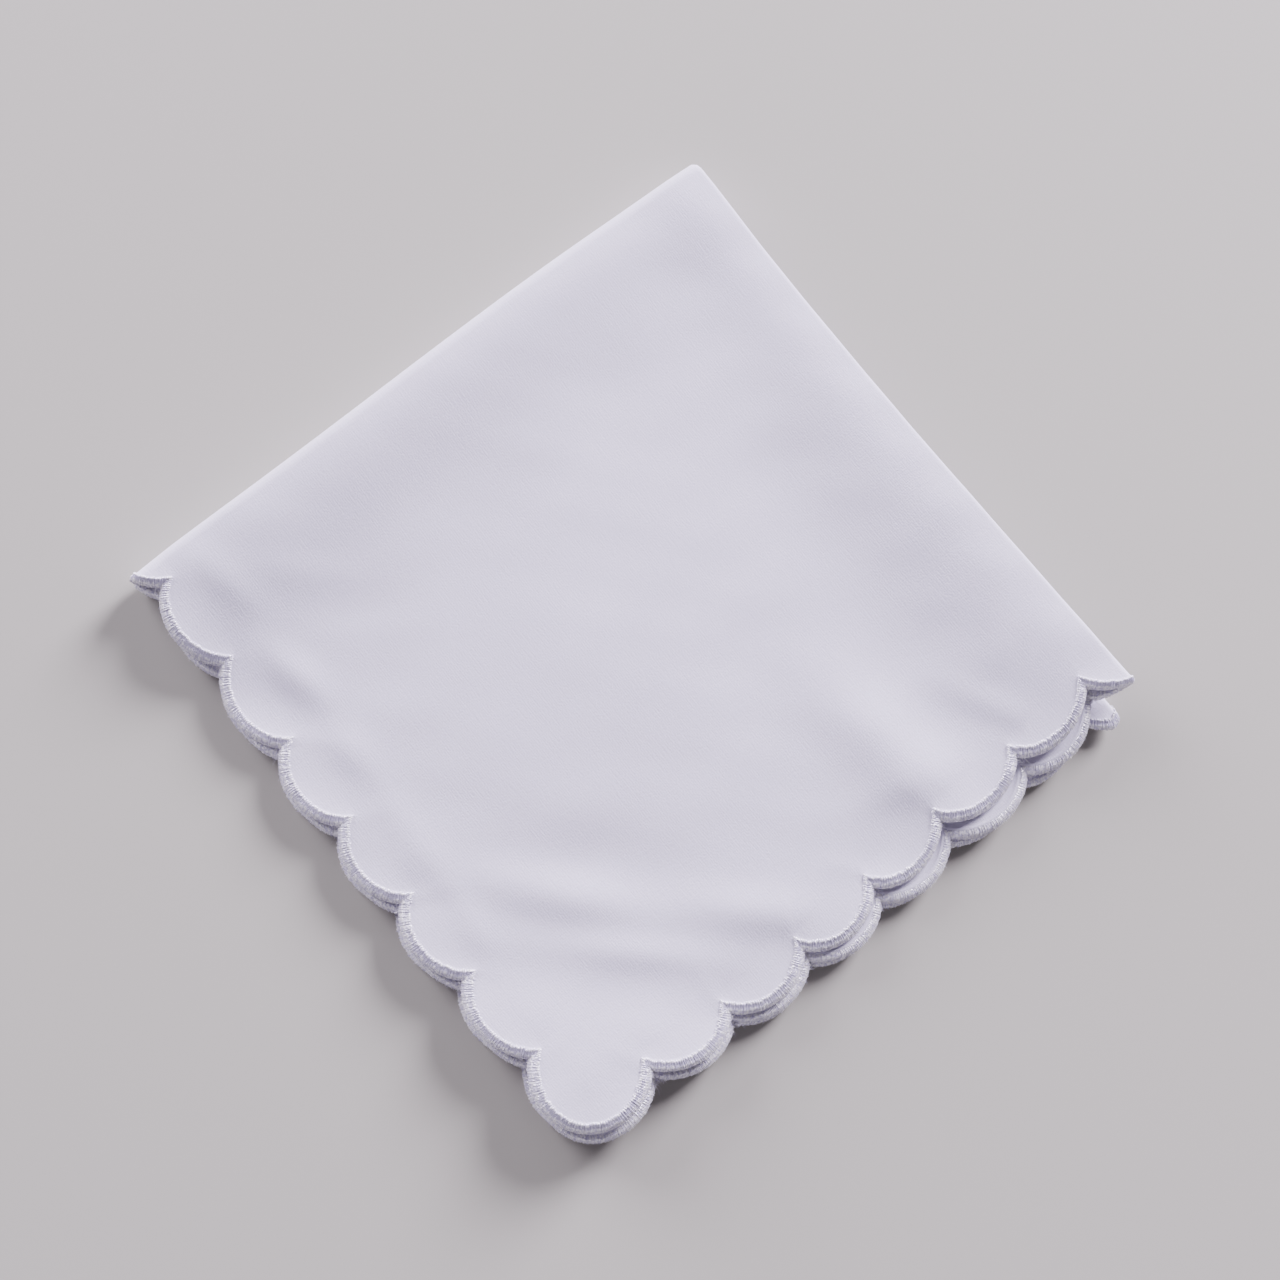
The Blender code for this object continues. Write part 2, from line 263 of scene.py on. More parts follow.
# Stray ends of thread at the outline, most of them at the cusps
STRAY_SHARE = 0.15              # of the stitches
CUSP_STRAY_SHARE = 0.6
CUSP_REACH = 1.2 * MM           # how far from a cusp a stitch counts as being at it
STRAY_LENGTHS = (0.25 * MM, 0.7 * MM)
CUSP_STRAY_LENGTHS = (0.5 * MM, 1.6 * MM)
STRAY_HALF_WIDTH = 0.08 * MM
STRAY_TAPER = 1.2               # its half width goes from this share at the cloth to 0.2 at the end
STRAY_STOPS = np.array([0, 0.5, 1])     # fractions of its length
STRAY_LEAN = 0.9                # sideways, for its length outwards, either way
STRAY_RISE = (-0.2, 0.5)        # upwards, the same
STRAY_SIDES = 3

# The camera
CAMERA_PLACE = Vector((-19.46, -61.31, 330.78)) * MM
CAMERA_RIGHT = Vector((0.9978, 0.0201, 0.0629))
CAMERA_FORWARD = Vector((0.0585, 0.1749, -0.9828))
CAMERA_LENS_MM = 45
SENSOR_MM = 36

# The light. Columns: name, place in metres, diameter in metres, power in watts
LIGHTS = (
    ("key", (1.24, 1.48, 0.84), 0.9, 198.0),            # from the far right
    ("second", (-1.9, 1.9, 0.8), 1.8, 218.0),           # from the far left
    ("low_front", (-0.7, -1.9, 0.35), 1.2, 14.5),       # into the gaps between the layers
)
LIGHT_TINT = (0.895, 0.83, 1.0)
AIR_TINT = (0.87, 0.80, 1.0)
AIR_STRENGTH = 0.21

# The floor
FLOOR_COLOUR = (0.395, 0.385, 0.337)
FLOOR_ROUGHNESS = 0.9
FLOOR_HALF_SIDE = 3.0           # metres

# The looks of the cotton. Heights and tones are mixed from noise that goes from 0 to 1
COTTON_WHITE = (0.72, 0.69, 0.82)
COTTON_WHITE_SHADE = (0.655, 0.62, 0.745)
THREADS_PER_SIDE = SIDE / (0.46 * MM)
SLUB_THREADS = 9                # a thick or thin place is this many threads long
SLUB_WANDER = 1.6               # how far it pushes the next threads aside, in radians of the weave
WARP_SHARE = 0.6                # of the weave's height; the rest is the weft's
WEFT_SHARE = 0.4
WEAVE_HEIGHT = 0.15             # of the bump, beside the grain's 1
SLUB_HEIGHT = 0.6
COTTON_BUMP = (0.5, 0.11 * MM)  # strength, depth
MOTTLE_SCALE = 14.0             # spots across the cloth's side
SLUB_TONE = 0.3
MOTTLE_TONE = 0.4
COTTON_GLOSS = {"Roughness": 0.85, "Specular IOR Level": 0.25, "Sheen Weight": 0.15,
                "Sheen Roughness": 0.5, "Subsurface Weight": 0.45}

# The looks of the embroidery thread
THREAD_WHITE = (0.99, 0.96, 1.0)
# this darker end of the mix also carries the painted shade of the channel
THREAD_WHITE_SHADE = (0.60, 0.56, 0.74)
# The specks and the tone of each thread are partly the fibres' own tone and partly painted glints of
# the glossy thread
FIBRE_SCALE = 1700.0            # specks to a metre
FIBRE_TONE_AND_GLINTS = 5.0                # how strongly the specks differ
THREAD_TONE = 0.8               # how much one thread differs from the next
TONE_OFFSET = -2.3              # brings the mean of the mix to about 0.6
THREAD_BUMP = (1.0, 0.15 * MM)
THREAD_GLOSS = {"Roughness": 0.2, "Specular IOR Level": 1.0, "IOR": 1.8, "Sheen Weight": 0.5,
                "Sheen Roughness": 0.3, "Subsurface Weight": 0.2}
# The channel between the padding's humps gets painted shade in the thread's colour: its place and half
# width along a thread's loop
CHANNEL_PLACE = TOP_STATIONS.index(0.65) / STATIONS
CHANNEL_HALF_WIDTH = 0.12
CHANNEL_PAINTED_SHADE = 2.0

# Light that enters white cotton comes out again this near by
LIGHT_SPREAD = 0.5 * MM


def scallop_limits(inset):
    """Half angle of a scallop's arc, where it meets another scallop and where it meets a lobe."""
    radius = SCALLOP_RADIUS - inset
    at_scallop = math.asin(PITCH / 2 / radius)
    at_lobe = SCALLOP_HALF_ANGLE + math.atan2(inset, math.sqrt(radius ** 2 - inset ** 2))
    return at_scallop, at_lobe


def even_steps(start, end, steps):
    """Values from start to end, both included."""
    return [start + (end - start) * i / steps for i in range(steps + 1)]


def fold_rows(radius):
    """Flat distances from a fold line at which the turn of this radius gets a row of points."""
    quarter = math.pi / 2 * radius
    return even_steps(-quarter, quarter, FOLD_STEPS)


def scallop_point(inset, number, angle):
    """A point of the scallop with this number of the side that faces +v."""
    radius = SCALLOP_RADIUS - inset
    centre = (SCALLOPS // 2 - number) * PITCH
    return centre + radius * math.sin(angle), CUSP_LINE - PITCH / 2 + radius * math.cos(angle)


def scallop_ends(inset, number):
    """The angles at which a scallop of a side starts and ends, from +u to -u."""
    at_scallop, at_lobe = scallop_limits(inset)
    start = at_lobe if number == 0 else at_scallop
    end = at_lobe if number == SCALLOPS - 1 else at_scallop
    return start, -end


def scallop_points(inset, number, rows):
    """Points of one scallop of the side that faces +v, from +u to -u."""
    radius = SCALLOP_RADIUS - inset
    angles = even_steps(*scallop_ends(inset, number), ARC_STEPS)
    if number == SCALLOPS // 2:
        widest = max(rows)
        clear = rows[1] - rows[0]
        angles = [a for a in angles if abs(radius * math.sin(a)) > widest + clear]
        angles += [math.asin(row / radius) for row in rows]
        angles.sort(reverse=True)
    return [scallop_point(inset, number, angle) for angle in angles]


def lobe_point(inset, angle):
    """A point of the corner lobe at (-u, +v): half an ellipse across the corner's diagonal."""
    sideways = (LOBE_HALF_CHORD - inset) * math.cos(angle) / math.sqrt(2)
    outwards = (LOBE_DEPTH - inset) * math.sin(angle) / math.sqrt(2)
    return -LOBE_CENTRE + sideways - outwards, LOBE_CENTRE + sideways + outwards


def quarter_turns(point, turns):
    """The point turned anticlockwise about the middle of the cloth."""
    u, v = point
    for _ in range(turns):
        u, v = -v, u
    return u, v


def scalloped_ring(inset):
    """The cloth's closed outline, or a line parallel to it and inset by this much."""
    rows_of_side = (fold_rows(OUTER_RADIUS), fold_rows(FIRST_RADIUS), fold_rows(INNER_RADIUS),
                    fold_rows(FIRST_RADIUS))
    ring = []
    for turns, rows in enumerate(rows_of_side):
        side = []
        for number in range(SCALLOPS):
            side += scallop_points(inset, number, rows)
        side += [lobe_point(inset, angle) for angle in even_steps(0, math.pi, LOBE_STEPS)]
        for point in side:
            turned = Vector(quarter_turns(point, turns))
            if not ring or (turned - ring[-1]).length > SAME_POINT:
                ring.append(turned)
    if (ring[0] - ring[-1]).length < SAME_POINT:
        ring.pop()
    return ring


def flat_area():
    """Area inside the scalloped outline."""
    ring = scalloped_ring(0)
    crosses = [a.x * b.y - a.y * b.x for a, b in zip(ring, ring[1:] + ring[:1])]
    return sum(crosses) / 2


def grid_lines(rows, step, sign):
    """Grid lines on one side of a fold, from its last row to just inside the border."""
    cusps_inside = CUSP_LINE - PITCH / 2 + (SCALLOP_RADIUS - BORDER_WIDTH) * math.cos(
        scallop_limits(BORDER_WIDTH)[0])
    last = cusps_inside - GRID_MARGIN
    first = max(rows) + step / 2
    return [sign * value for value in even_steps(first, last, round((last - first) / step))]


def grid_points():
    """Free points inside the border: a grid on each quarter, and rows across each fold.

    The points of a fold's rows stand at one spacing on both sides of it, the finer one where it
    carries the top layer, so that no triangle cuts across the turn.
    """
    first_rows = fold_rows(FIRST_RADIUS)
    points = set()
    for u_sign in (1, -1):
        for v_sign in (1, -1):
            second_rows = fold_rows(OUTER_RADIUS if v_sign > 0 else INNER_RADIUS)
            grid = TOP_GRID if (u_sign, v_sign) == (-1, 1) else HIDDEN_GRID
            beside_first = TOP_GRID if u_sign < 0 else HIDDEN_GRID
            beside_second = TOP_GRID if v_sign > 0 else HIDDEN_GRID
            across = grid_lines(second_rows, grid, u_sign)
            along = grid_lines(first_rows, grid, v_sign)
            points |= {(u, v) for u in across for v in along}
            across = grid_lines(fold_rows(OUTER_RADIUS), beside_first, u_sign)
            points |= {(u, v) for u in across for v in first_rows}
            along = grid_lines(first_rows, beside_second, v_sign)
            points |= {(u, v) for u in second_rows for v in along}
            points |= {(u, v) for u in second_rows for v in first_rows if v * v_sign >= 0}
    rounded = {(round(u, ROUND_DIGITS), round(v, ROUND_DIGITS)) for u, v in points}
    return [Vector(point) for point in sorted(rounded)]


def crown(fraction):
    """Thickness of the padded border at this fraction of its width, counted from the outline."""
    hump = sum(share * np.exp(-((fraction - place) / half_width) ** 2)
               for place, half_width, share in PADDING_HUMPS)
    return CLOTH_THICKNESS + (CROWN_THICKNESS - CLOTH_THICKNESS) * np.minimum(hump, 1)


def flat_sheet():
    """The flat cloth's points, its triangles, and for each point of a ring the ring's fraction."""
    points = []
    edges = []
    fractions = []
    for fraction in BORDER_RINGS:
        ring = scalloped_ring(fraction * BORDER_WIDTH)
        first = len(points)
        points += ring
        fractions += [fraction] * len(ring)
        edges += [(first + i, first + (i + 1) % len(ring)) for i in range(len(ring))]
    points += grid_points()
    inside_constraints = 1
    points, _, triangles, origins, _, _ = delaunay_2d_cdt(
        points, edges, [], inside_constraints, CDT_MERGE)
    on_ring = {i: fractions[sources[0]] for i, sources in enumerate(origins)
               if sources and sources[0] < len(fractions)}
    return np.array(points), triangles, on_ring


def outline_inset(u, v):
    """How far inside the scalloped outline flat points lie; less than nothing outside it."""
    near, far = np.minimum(np.abs(u), np.abs(v)), np.maximum(np.abs(u), np.abs(v))
    centre = np.minimum(np.round(near / PITCH), SCALLOPS // 2) * PITCH
    beyond = np.maximum(far - (CUSP_LINE - PITCH / 2), 0)
    in_scallop = SCALLOP_RADIUS - np.hypot(near - centre, beyond)
    sideways = (far - near) / math.sqrt(2)
    outwards = np.maximum((far + near - 2 * LOBE_CENTRE) / math.sqrt(2), 0)
    in_lobe = LOBE_HALF_CHORD * (1 - np.hypot(sideways / LOBE_HALF_CHORD, outwards / LOBE_DEPTH))
    return np.maximum(in_scallop, in_lobe)


def unit(vectors):
    """Vectors of length one in the same directions."""
    return vectors / np.linalg.norm(vectors, axis=-1, keepdims=True)


def square_to(flat):
    """Flat vectors turned a quarter turn anticlockwise."""
    return np.stack([-flat[:, 1], flat[:, 0]], -1)


def first_fold(v):
    """Distance from the first fold, and height, of points this far from the fold line."""
    angle = np.clip(math.pi / 2 - v / FIRST_RADIUS, 0, math.pi)
    beyond = np.maximum(np.abs(v) - math.pi / 2 * FIRST_RADIUS, 0)
    return FIRST_RADIUS * (1 - np.sin(angle)) + beyond, FIRST_RADIUS * (1 - np.cos(angle))


def second_fold(u, height):
    """The same for the second fold, which turns the folded pair over onto itself."""
    radius = OUTER_RADIUS - height
    angle = np.clip(math.pi / 2 - u / radius, 0, math.pi)
    beyond = np.maximum(np.abs(u) - math.pi / 2 * radius, 0)
    return OUTER_RADIUS - radius * np.sin(angle) + beyond, OUTER_RADIUS - radius * np.cos(angle)


def pinch(u, x, y, level):
    """How much of the right tip's pinch points get: all in the third layer, none in the top one."""
    along, away = PINCH_LENGTHS
    near = np.exp(-((HALF_SIDE - x) / along) ** 2 - (y / away) ** 2)
    return (u < 0) * np.clip(TOP_LEVEL - level, 0, 1) * near


def in_top(level):
    """The share of the top layer's own unevenness that points get: none up to the third layer."""
    return np.clip(level - (TOP_LEVEL - 1), 0, 1)


def tips(x, y):
    """How near points of the free edges are to the left tip and the right one: 1 at it, 0 far off."""
    return np.exp(-(x / TIP_WIDTH) ** 2) * (y > x), np.exp(-(y / TIP_WIDTH) ** 2) * (x > y)


def cusp_shifts(x, y):
    """How far points near the two front edges are moved along x and along y."""
    places = [0, *((number + 0.5) * PITCH for number in range(SCALLOPS // 2 + 1))]
    left_x, left_y, right_x, right_y = np.array(CUSP_SHIFTS).T * MM
    to_left = np.clip(0.5 + (y - x) / (2 * LOBE_HALF_CHORD), 0, 1)
    at_left = to_left * np.exp(-((HALF_SIDE - y) / CUSP_SHIFT_LENGTH) ** 2)
    at_right = (1 - to_left) * np.exp(-((HALF_SIDE - x) / CUSP_SHIFT_LENGTH) ** 2)
    along_x = at_left * np.interp(x, places, left_x) + at_right * np.interp(y, places, right_x)
    along_y = at_left * np.interp(x, places, left_y) + at_right * np.interp(y, places, right_y)
    return along_x, along_y


def reach(u, v, x, y, level):
    """How far points lie past the same points of a stack whose free edges all agree."""
    s, t = x / HALF_SIDE, y / HALF_SIDE
    along_x = np.zeros_like(x)
    along_y = np.zeros_like(y)
    for (u_sign, v_sign), (x_wave, x_lobe, y_middle, y_lobe) in LAYER_REACH.items():
        here = (np.where(u > 0, 1, -1) == u_sign) & (np.where(v > 0, 1, -1) == v_sign)
        along_x += here * s * (x_wave * np.sin(2 * math.pi * t) + x_lobe * t)
        along_y += here * t * (y_middle * np.sin(math.pi * s) + y_lobe * s)
    swing = np.where(u > 0, s * np.maximum(0, 1 - t), 0) ** 2
    along_x += LOWER_SWING[0] * swing
    along_y += LOWER_SWING[1] * swing
    along_x -= PINCH_SHIFT * pinch(u, x, y, level)
    inset = outline_inset(u, v)
    eased = np.exp(-np.maximum(inset - BORDER_WIDTH, 0) / TIP_EASE)
    turned = np.clip(inset / BORDER_WIDTH, 0, 1) * eased
    at_left, at_right = tips(x, y)
    along_x += TIP_TURN * turned * at_right * level / TOP_LEVEL
    along_y += TIP_TURN * turned * at_left * level / TOP_LEVEL
    loop = LOOP_OUT * at_right - LOOP_ROUND * np.exp(-(y / LOOP_ROUND_WIDTH) ** 2)
    along_x += (u > 0) * loop * np.exp(-np.maximum(HALF_SIDE - x, 0) / LOOP_LENGTH)
    at_left_end = np.exp(-((HALF_SIDE - y) / TUCK_LENGTH) ** 2)
    along_x += LEFT_TUCK * at_left_end * np.exp(-x / TUCK_LENGTH)
    along_x += LEFT_FOLD_IN * (1 - at_left_end) * np.exp(-x / FOLD_IN_LENGTH)
    along_y += RIGHT_FOLD_IN * np.exp(-y / FOLD_IN_LENGTH)
    shift_x, shift_y = cusp_shifts(x, y)
    return along_x + shift_x, along_y + shift_y


def bow(start, end, amounts, t):
    """Offset of a side of the square at the fraction t of its length."""
    along = (Vector(end) - Vector(start)).normalized()
    sideways = (-along.y, along.x)
    one_half_wave, two_half_waves, slide = amounts
    push = one_half_wave * np.sin(math.pi * t) + two_half_waves * np.sin(2 * math.pi * t)
    pull = slide * np.sin(math.pi * t)
    return np.stack([sideways[0] * push + along.x * pull, sideways[1] * push + along.y * pull], -1)


def lay_down(x, y):
    """Places on the surface of points of the folded square."""
    s, t = (x / HALF_SIDE)[..., None], (y / HALF_SIDE)[..., None]
    far, right, left, front = map(np.array, (FAR_CORNER, RIGHT_CORNER, LEFT_CORNER, FRONT_CORNER))
    place = far * (1 - s) * (1 - t) + right * s * (1 - t) + left * (1 - s) * t + front * s * t
    place += bow(FAR_CORNER, RIGHT_CORNER, RIGHT_FOLD_BOW, s[..., 0]) * (1 - t)
    place += bow(LEFT_CORNER, FRONT_CORNER, LEFT_FRONT_BOW, s[..., 0]) * t
    place += bow(FAR_CORNER, LEFT_CORNER, LEFT_FOLD_BOW, t[..., 0]) * (1 - s)
    place += bow(RIGHT_CORNER, FRONT_CORNER, RIGHT_FRONT_BOW, t[..., 0]) * s
    return place


def ridges(table, x, y):
    """Height that a table of soft ridges adds."""
    height = np.zeros_like(x)
    for centre_x, centre_y, half_length, half_width, heading, rise in table:
        angle = math.radians(heading)
        dx, dy = x - centre_x * MM, y - centre_y * MM
        along = (dx * math.cos(angle) + dy * math.sin(angle)) / (half_length * MM)
        across = (dy * math.cos(angle) - dx * math.sin(angle)) / (half_width * MM)
        height += rise * MM * np.exp(-along ** 2 - across ** 2)
    return height


def cusp_puckers(chance):
    """Rows of a table of ridges: one pucker from each cusp of the top layer's two free edges."""
    rows = []
    for number in range(SCALLOPS // 2 + 1):
        along = (number + 0.5) * PITCH / MM
        inwards = (CUSP_LINE - BORDER_WIDTH) / MM - CUSP_PUCKER_LENGTH / 2
        for x, y, straight_in in ((along, inwards, 90), (inwards, along, 0)):
            heading = straight_in + chance.uniform(-CUSP_PUCKER_SPREAD, CUSP_PUCKER_SPREAD)
            height = CUSP_PUCKER_HEIGHT * chance.uniform(*CUSP_PUCKER_SHARES)
            rows.append((x, y, CUSP_PUCKER_LENGTH, CUSP_PUCKER_WIDTH, heading, height))
    return rows


@functools.cache
def top_ridges():
    """Rows of the table of all ridges that the top layer has alone."""
    return [*PUCKERS, *cusp_puckers(np.random.default_rng(SEED))]


def soft_waves(x, y):
    """Height of the low waves of the top layer."""
    chance = np.random.default_rng(SEED)
    height = np.zeros_like(x)
    for _ in range(SOFT_WAVES):
        length = chance.uniform(*SOFT_WAVE_LENGTHS)
        heading, phase = chance.uniform(0, 2 * math.pi, 2)
        run = (x * math.cos(heading) + y * math.sin(heading)) / length
        height += SOFT_WAVE_HEIGHT * length * np.sin(2 * math.pi * run + phase)
    return height


def edge_waves(x, y, level):
    """How far the free edge of each layer wanders up and down; level counts layers from the bottom."""
    lift = np.zeros_like(x)
    for layer, x_waves, y_waves, phase, height in EDGE_WAVES:
        share = np.clip(1 - np.abs(level - layer), 0, 1)
        turns = x / HALF_SIDE * x_waves + y / HALF_SIDE * y_waves + phase
        lift += share * height * np.sin(2 * math.pi * turns)
    near_edge = np.exp(-((HALF_SIDE - np.maximum(x, y)) / EDGE_WAVE_WIDTH) ** 2)
    return lift * near_edge


def border_turn(u, v, x, y, level):
    """How far each layer's border turns down, and how far the lowest one's is kept up."""
    inset = outline_inset(u, v)
    to_left = np.clip((y - x) / (2 * LOBE_HALF_CHORD) + 1, 0, 1)
    left = np.interp(level, range(len(LEFT_DROOPS)), LEFT_DROOPS)
    right = np.interp(level, range(len(RIGHT_DROOPS)), RIGHT_DROOPS)
    droop = left * to_left + right * (1 - to_left)
    droop += TIP_DROOP * sum(tips(x, y)) * in_top(level)
    turned = np.clip(1 - inset / DROOP_WIDTH, 0, None) ** DROOP_POWER
    eased = np.clip((inset - BORDER_WIDTH) / EDGE_LIFT_WIDTH, 0, 1)
    kept_up = EDGE_LIFT * np.clip(1 - level, 0, 1) * (1 - eased) ** 2
    return kept_up - droop * turned


def folded_points(u, v):
    """Where points of the flat cloth's middle surface lie once folded and put down."""
    y, pair_height = first_fold(v)
    x, height = second_fold(u, pair_height)
    level = height / LAYER_PITCH
    along_x, along_y = reach(u, v, x, y, level)
    x = x + along_x
    y = y + along_y
    lift = ridges(RELIEF, x, y) * level / TOP_LEVEL
    lift += (ridges(top_ridges(), x, y) + soft_waves(x, y)) * in_top(level)
    lift += edge_waves(x, y, level) + border_turn(u, v, x, y, level)
    lift += PINCH_LIFT * pinch(u, x, y, level)
    place = lay_down(x, y)
    return np.concatenate([place, (CLOTH_THICKNESS / 2 + height + lift)[..., None]], -1)


def across_sheet(u, v):
    """Unit vectors square to the folded sheet at flat points."""
    step = NORMAL_STEP
    along_u = folded_points(u + step, v) - folded_points(u - step, v)
    along_v = folded_points(u, v + step) - folded_points(u, v - step)
    return unit(np.cross(along_u, along_v))


def mesh_object(name, places, faces, material):
    """A smooth-shaded object from places and faces."""
    mesh = bpy.data.meshes.new(name)
    mesh.from_pydata(np.asarray(places).tolist(), [], np.asarray(faces).tolist())
    mesh.materials.append(material)
    thing = bpy.data.objects.new(name, mesh)
    bpy.context.scene.collection.objects.link(thing)
    mesh.shade_smooth()
    return thing


def add_flat_map(mesh, flat):
    """A UV map that is the flat cloth itself, so that the weave runs through the folds."""
    corners = np.empty(len(mesh.loops), dtype=np.int32)
    mesh.loops.foreach_get("vertex_index", corners)
    layer = mesh.uv_layers.new(name="flat")
    layer.data.foreach_set("uv", (flat[corners] / SIDE + 0.5).astype(np.float32).ravel())


def folded_cloth(material):
    """The handkerchief: one folded sheet, padded along its border."""
    flat, triangles, on_ring = flat_sheet()
    places = folded_points(flat[:, 0], flat[:, 1])
    cloth = mesh_object("cotton_cloth", places, triangles, material)
    add_flat_map(cloth.data, flat)
    sheet = bmesh.new()
    sheet.from_mesh(cloth.data)
    bmesh.ops.recalc_face_normals(sheet, faces=sheet.faces)
    sheet.to_mesh(cloth.data)
    sheet.free()

    padded = cloth.vertex_groups.new(name="border")
    for index, fraction in on_ring.items():
        thickness = float(crown(fraction)) - CLOTH_THICKNESS
        padded.add([index], thickness / (CROWN_THICKNESS - CLOTH_THICKNESS), "REPLACE")
    solid = cloth.modifiers.new("thickness", "SOLIDIFY")
    solid.thickness = CROWN_THICKNESS
    solid.offset = 0
    solid.vertex_group = padded.name
    solid.thickness_vertex_group = CLOTH_THICKNESS / CROWN_THICKNESS
    solid.use_quality_normals = True
    return cloth


def border_lines():
    """Matching flat points of the border's inner line and of the outline, once round the cloth."""
    inner = []
    outer = []
    straight = SCALLOP_RADIUS - math.sqrt((SCALLOP_RADIUS - BORDER_WIDTH) ** 2 - BORDER_WIDTH ** 2)
    for turns in range(4):
        for number in range(SCALLOPS):
            for angle in even_steps(*scallop_ends(BORDER_WIDTH, number), ARC_STEPS * STATION_FINENESS):
                held = max(-SCALLOP_HALF_ANGLE, min(SCALLOP_HALF_ANGLE, angle))
                inner.append(quarter_turns(scallop_point(BORDER_WIDTH, number, angle), turns))
                outer.append(quarter_turns(scallop_point(0, number, held), turns))
        for angle, back in lobe_stations(straight, LOBE_STEPS * STATION_FINENESS):
            u, v = lobe_point(BORDER_WIDTH, angle)
            out = back / math.sqrt(2)
            inner.append(quarter_turns((u + out, v - out), turns))
            outer.append(quarter_turns(lobe_point(0, angle), turns))
    return np.array(inner), np.array(outer)


def lobe_stations(straight, steps):
    """Along a lobe's inner line: its angle, and how far back from the lobe a straight end lies."""
    leads = even_steps(1, 0, steps // LEAD_SHARE)
    stations = [(0, straight * lead) for lead in leads]
    stations += [(angle, 0) for angle in even_steps(0, math.pi, steps)]
    stations += [(math.pi, straight * lead) for lead in reversed(leads)]
    return stations


def stitch_ends(chance):
    """Inner and outer ends of the border's threads on the flat cloth."""
    inner, outer = border_lines()
    runs = np.linalg.norm(np.diff(inner, axis=0, append=inner[:1]), axis=1)
    travelled = np.concatenate([[0], np.cumsum(runs)[:-1]])
    count = THREADS_A_HOLE * round(runs.sum() / THREAD_PITCH / THREADS_A_HOLE)
    chosen = np.searchsorted(travelled, np.arange(count) * runs.sum() / count)
    chosen = np.clip(chosen, 0, len(inner) - 1)
    inner, outer = inner[chosen], outer[chosen]
    inner = inner + unit(outer - inner) * chance.uniform(-RAGGED, RAGGED, (count, 1))
    thread = np.arange(count)
    hole = (thread + THREADS_A_HOLE // 2) // THREADS_A_HOLE * THREADS_A_HOLE % count
    return inner[hole] * GATHERED + inner * (1 - GATHERED), outer


def stitch_layers(inner):
    """Which of the four layers each stitch belongs to, from the bottom."""
    return np.array([LAYER_OF_QUARTER[1 if u > 0 else -1, 1 if v > 0 else -1] for u, v in inner])


def loop_line(inner, outer, rim, chance):
    """Flat points and heights of each thread's loop: over the border, round the edge and back below."""
    count = len(inner)
    width = np.linalg.norm(outer - inner, axis=1, keepdims=True)
    out = (outer - inner) / width
    fractions = np.tile([*TOP_STATIONS, 0, *BOTTOM_STATIONS], (count, 1))
    fractions[:, len(TOP_STATIONS)] = -chance.uniform(*OVERRUN, count) / BORDER_WIDTH
    sides = np.array([1] * len(TOP_STATIONS) + [0] + [-1] * len(BOTTOM_STATIONS))
    lifted = THREAD_HALF_HEIGHT * chance.uniform(*THREAD_HEIGHT_SPREAD, (count, 1)) - THREAD_SINK
    lifted += THREAD_STEP * (np.arange(count) % 2)[:, None]
    rounded = crown(fractions) / 2 + rim * np.exp(-(fractions / RIM_WIDTH) ** 2)
    heights = (rounded + lifted) * sides
    ends = [0, -1]
    heights[:, ends] = sides[ends] * THREAD_END_HEIGHT
    return outer[:, None, :] - out[:, None, :] * (fractions * width)[..., None], heights


def tube_faces(count, stops, sides, closed):
    """Faces of so many tubes with a ring of corners at each stop; a closed one joins up with itself."""
    one = [(stop * sides + k, (stop + 1) % stops * sides + k,
            (stop + 1) % stops * sides + (k + 1) % sides, stop * sides + (k + 1) % sides)
           for stop in range(stops if closed else stops - 1) for k in range(sides)]
    starts = np.arange(count) * stops * sides
    return (np.array(one)[None, :, :] + starts[:, None, None]).reshape(-1, 4)


def thread_loops(inner, outer, rim, chance):
    """Corner points and faces of the threads between these ends."""
    count = len(inner)
    flat, heights = loop_line(inner, outer, rim, chance)
    u, v = flat[..., 0], flat[..., 1]
    middle = folded_points(u, v) + across_sheet(u, v) * heights[..., None]
    ahead = unit(np.roll(middle, -1, axis=1) - np.roll(middle, 1, axis=1))

    step = NORMAL_STEP * square_to(unit(outer - inner))[:, None, :]
    side = folded_points(u + step[..., 0], v + step[..., 1]) - folded_points(u, v)
    side = unit(side - ahead * (side * ahead).sum(-1, keepdims=True))
    up = np.cross(ahead, side)

    turn = 2 * math.pi * np.arange(THREAD_SIDES) / THREAD_SIDES
    roll = chance.uniform(-THREAD_ROLL, THREAD_ROLL, (count, 1, 1))
    wide = np.cos(turn) * THREAD_HALF_WIDTH * chance.uniform(*THREAD_WIDTH_SPREAD, (count, 1, 1))
    high = np.sin(turn) * THREAD_HALF_HEIGHT
    sideways = wide * np.cos(roll) - high * np.sin(roll)
    upwards = wide * np.sin(roll) + high * np.cos(roll)
    places = (middle[:, :, None, :] + side[:, :, None, :] * sideways[..., None]
              + up[:, :, None, :] * upwards[..., None])
    return places.reshape(-1, 3), tube_faces(count, STATIONS, THREAD_SIDES, closed=True)


def add_thread_map(mesh, count):
    """A UV map whose u tells the threads apart and whose v runs along each of them."""
    corners = np.empty(len(mesh.loops), dtype=np.int32)
    mesh.loops.foreach_get("vertex_index", corners)
    ring = corners // THREAD_SIDES
    places = np.stack([(ring // STATIONS + 0.5) / count, ring % STATIONS / STATIONS], -1)
    layer = mesh.uv_layers.new(name="threads")
    layer.data.foreach_set("uv", places.astype(np.float32).ravel())


